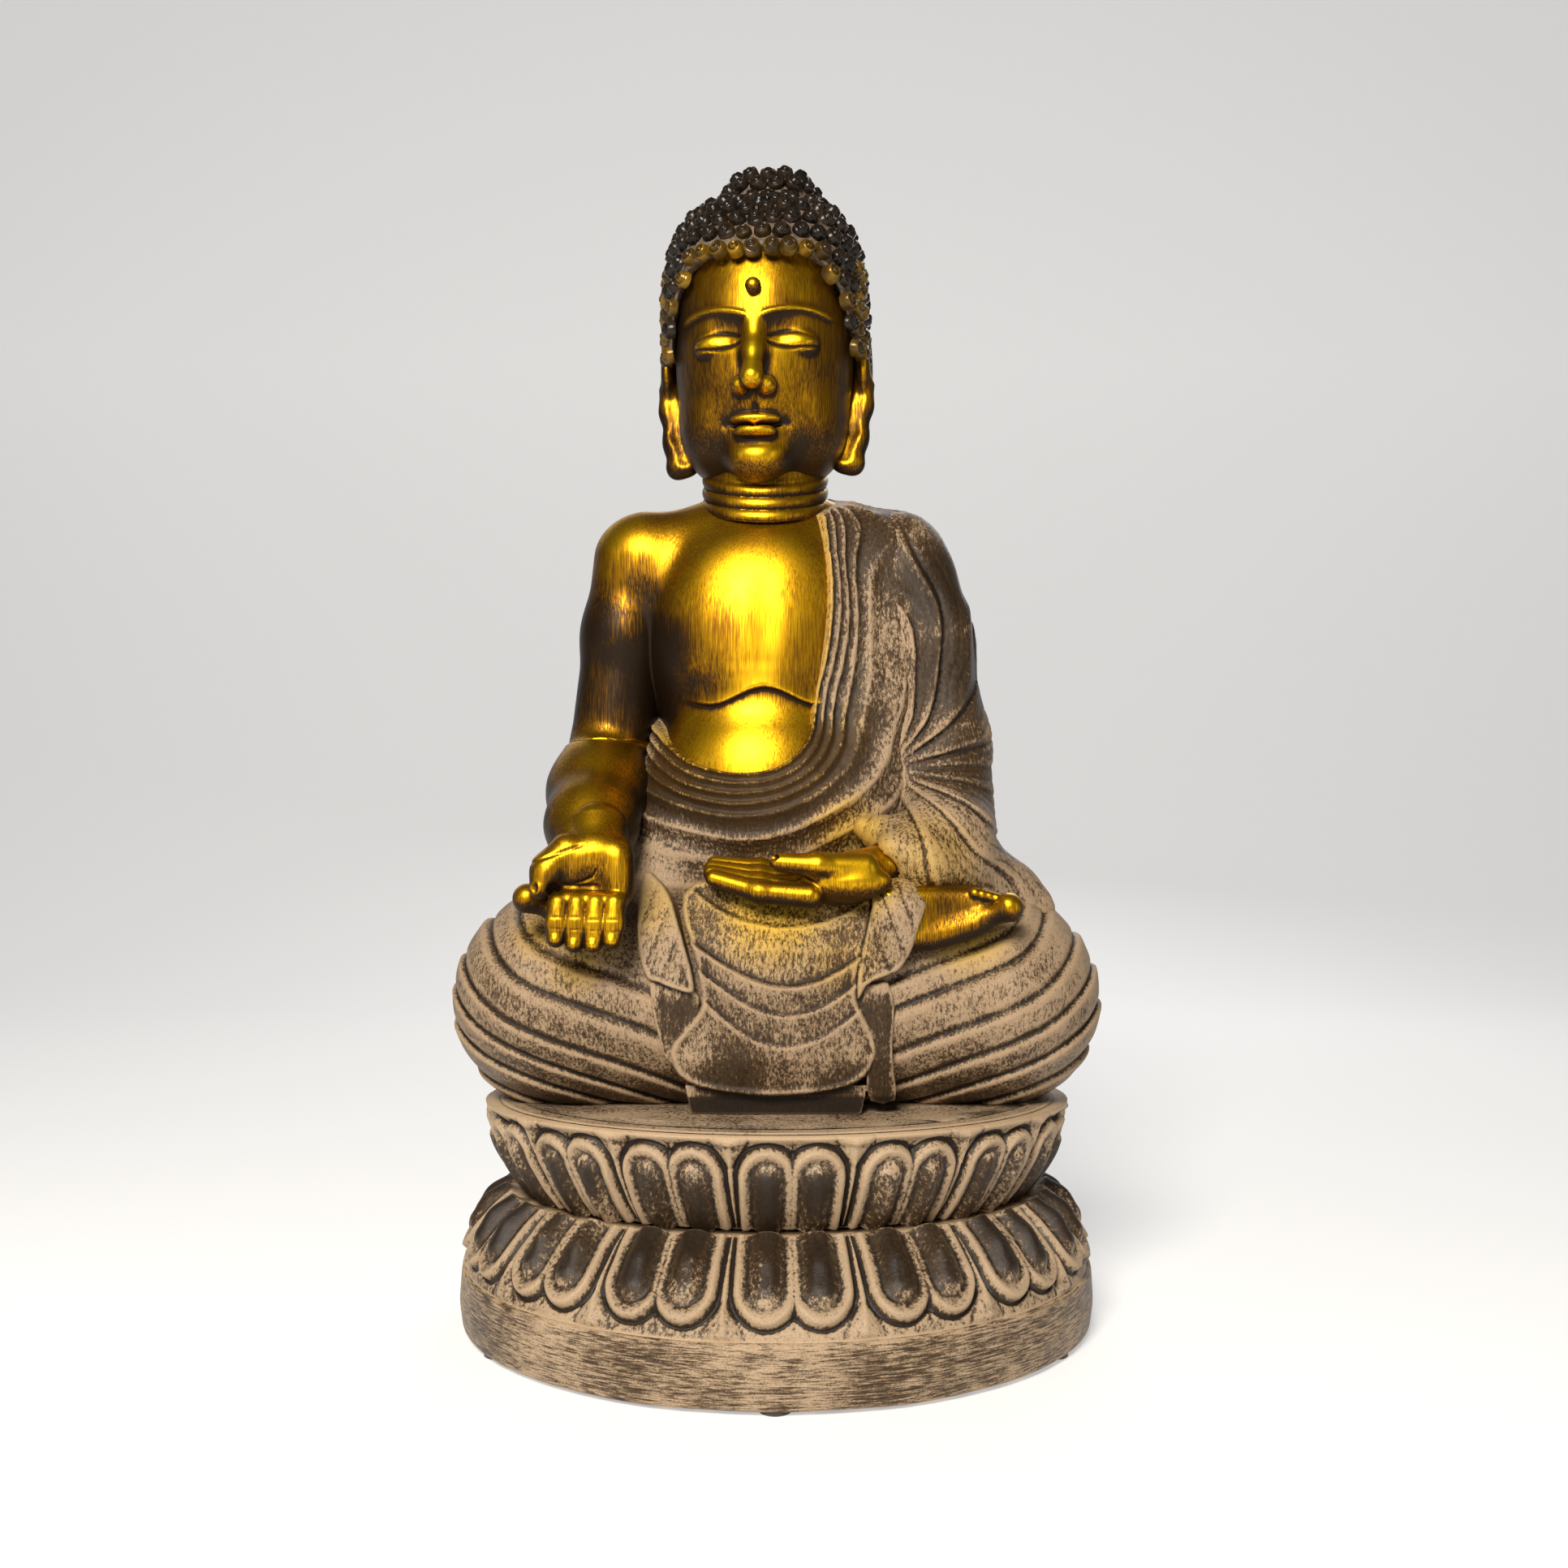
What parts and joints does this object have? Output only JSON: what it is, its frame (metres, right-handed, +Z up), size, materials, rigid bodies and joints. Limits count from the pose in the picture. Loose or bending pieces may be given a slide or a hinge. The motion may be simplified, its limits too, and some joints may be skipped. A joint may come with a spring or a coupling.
{
  "type": "seated buddha statue",
  "caption": "Seated meditation figure in a draped robe on a double lotus throne, antique gold skin and weathered stone robe.",
  "frame": {"origin": "centre of the footprint, on the ground under the felt pads", "axes": "+Z up through the figure, the figure faces -Y, +X is the figure's left"},
  "size_m": [0.333, 0.302, 0.6001],
  "materials": {
    "gold_paint": "antique gold rub over dark brown",
    "robe_paint": "weathered taupe wash over dark brown, satin",
    "throne_paint": "weathered beige with brown dry-brushing, satin",
    "hair_paint": "dark brown, dry-brushed",
    "steel": "zinc plated",
    "felt": "felt",
    "cover_board": "pressed fibreboard"
  },
  "bodies": {
    "root": {"felt_pads": "felt", "bottom_cover": "cover_board", "cover_screws": "steel", "plinth": "throne_paint", "lower_lotus": "throne_paint", "upper_lotus": "throne_paint", "seat_plate": "throne_paint", "tie_rod": "steel", "tie_rod_nuts": "steel", "tie_rod_washers": "steel", "leg_block": "robe_paint", "robe_apron": "robe_paint", "left_foot": "gold_paint", "right_foot": "gold_paint", "foot_dowels": "steel", "torso": "gold_paint", "robe_wrap": "robe_paint", "left_sleeve": "robe_paint", "left_hand": "gold_paint", "left_wrist_dowel": "steel", "right_upper_arm": "gold_paint", "right_forearm": "gold_paint", "right_hand": "gold_paint", "elbow_dowel": "steel", "right_wrist_dowel": "steel", "neck": "gold_paint", "neck_dowel": "steel", "head": "gold_paint", "left_ear": "gold_paint", "right_ear": "gold_paint", "hair_cap": "hair_paint", "hair_curls": "hair_paint", "ushnisha": "hair_paint", "ushnisha_curls": "hair_paint", "urna": "gold_paint"}
  },
  "joints": []
}
